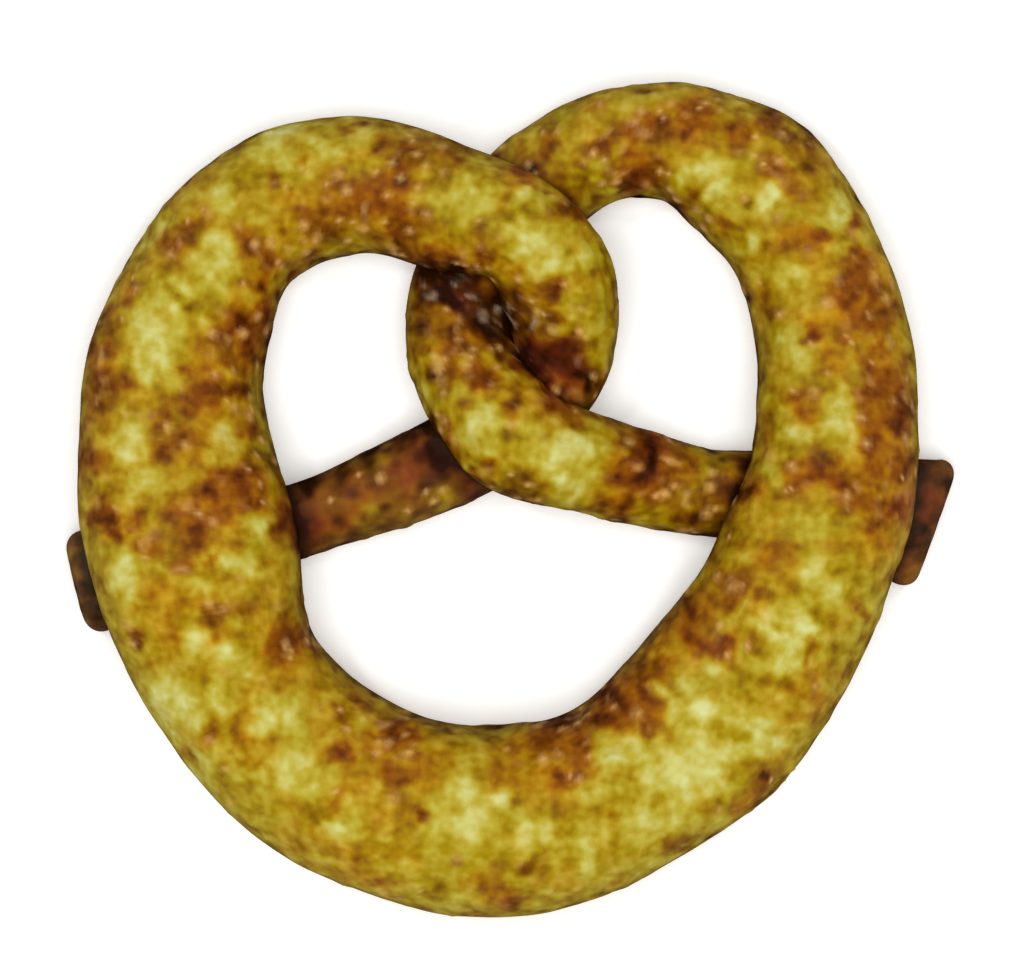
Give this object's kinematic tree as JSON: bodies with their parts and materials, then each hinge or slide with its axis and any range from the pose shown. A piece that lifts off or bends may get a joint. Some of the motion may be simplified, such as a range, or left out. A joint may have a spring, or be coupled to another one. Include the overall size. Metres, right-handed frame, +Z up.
{
  "type": "soft pretzel",
  "caption": "Baked soft pretzel: one rope of dough, thick in the belly, crossed twice at the top, with both ends tucked under the sides of the loop.",
  "frame": {"origin": "centre of the bounding box in plan, on the tray surface that the pretzel lies on", "axes": "+Z up out of the tray, +X across the pretzel towards its right cheek as seen from above, +Y from the belly towards the crowns"},
  "size_m": [0.14, 0.131, 0.024],
  "materials": {
    "crust": "golden baked bread crust with brown patches, softly glossy as if buttered"
  },
  "bodies": {
    "root": {"pretzel": "crust"}
  },
  "joints": []
}
